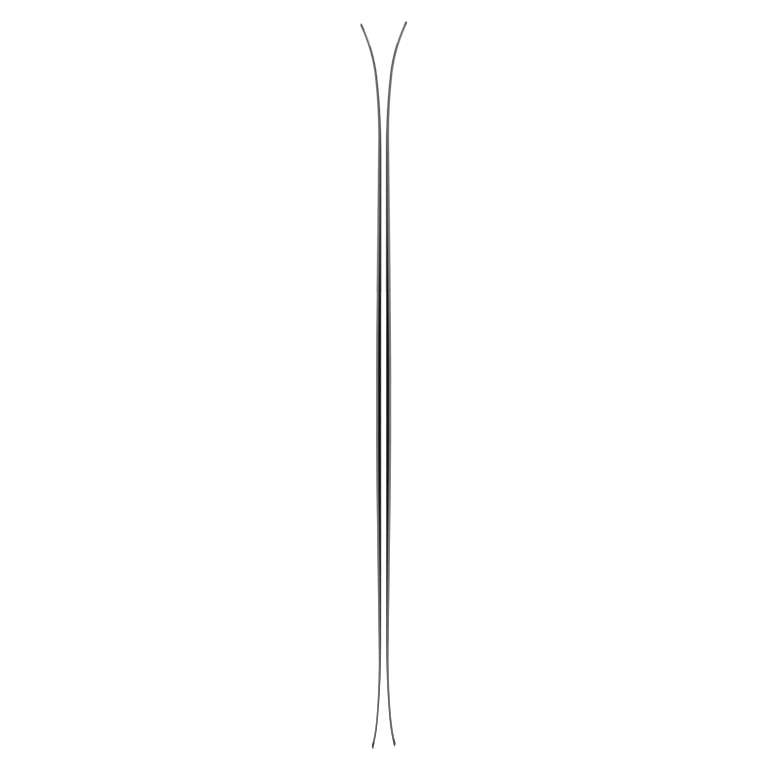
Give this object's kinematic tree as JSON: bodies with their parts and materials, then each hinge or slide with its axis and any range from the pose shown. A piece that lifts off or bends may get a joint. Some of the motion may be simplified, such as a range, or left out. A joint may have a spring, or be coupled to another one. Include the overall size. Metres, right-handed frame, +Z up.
{
  "type": "pair of cross country skis",
  "caption": "Pair of touring cross country skis with sidecut and bevelled tops, upright and base to base, without bindings.",
  "frame": {"origin": "middle of the pair's footprint, at the height of the lower ski's tail end", "axes": "+Z up along both skis from tail to tip, +X from the left ski to the right ski across their thickness, +Y across their width, away from the viewer"},
  "size_m": [0.1236, 0.0622, 1.896],
  "materials": {
    "base": "stone-ground polyethylene, satin black",
    "base_inlay": "ground polyethylene, dull gold",
    "laminate": "cured glass fibre in dark resin",
    "sidewall": "milled plastic, matte black",
    "spacer": "matte",
    "core_light": "planed poplar",
    "core_dark": "planed beech",
    "core_outer": "planed ash",
    "plate": "rolled sheet",
    "topsheet": "satin graphite",
    "protector": "moulded, matte black"
  },
  "bodies": {
    "left_ski": {"left_ski_base_sheet": "base", "left_ski_base_tip_inlay": "base_inlay", "left_ski_lower_laminate": "laminate", "left_ski_binding_plate": "plate", "left_ski_tip_spacer": "spacer", "left_ski_tail_spacer": "spacer", "left_ski_upper_laminate": "laminate", "left_ski_topsheet": "topsheet", "left_ski_tail_protector": "protector", "left_ski_sidewall_front": "sidewall", "left_ski_sidewall_back": "sidewall", "left_ski_core_stringer_1": "core_outer", "left_ski_core_stringer_2": "core_dark", "left_ski_core_stringer_3": "core_light", "left_ski_core_stringer_4": "core_dark", "left_ski_core_stringer_5": "core_outer"},
    "right_ski": {"right_ski_base_sheet": "base", "right_ski_base_tip_inlay": "base_inlay", "right_ski_lower_laminate": "laminate", "right_ski_binding_plate": "plate", "right_ski_tip_spacer": "spacer", "right_ski_tail_spacer": "spacer", "right_ski_upper_laminate": "laminate", "right_ski_topsheet": "topsheet", "right_ski_tail_protector": "protector", "right_ski_sidewall_front": "sidewall", "right_ski_sidewall_back": "sidewall", "right_ski_core_stringer_1": "core_outer", "right_ski_core_stringer_2": "core_dark", "right_ski_core_stringer_3": "core_light", "right_ski_core_stringer_4": "core_dark", "right_ski_core_stringer_5": "core_outer"}
  },
  "joints": [
    {"name": "skis_apart", "type": "slide", "parent": "left_ski", "child": "right_ski", "axis": [1, 0, 0], "range_m": [0, 0.25]}
  ]
}
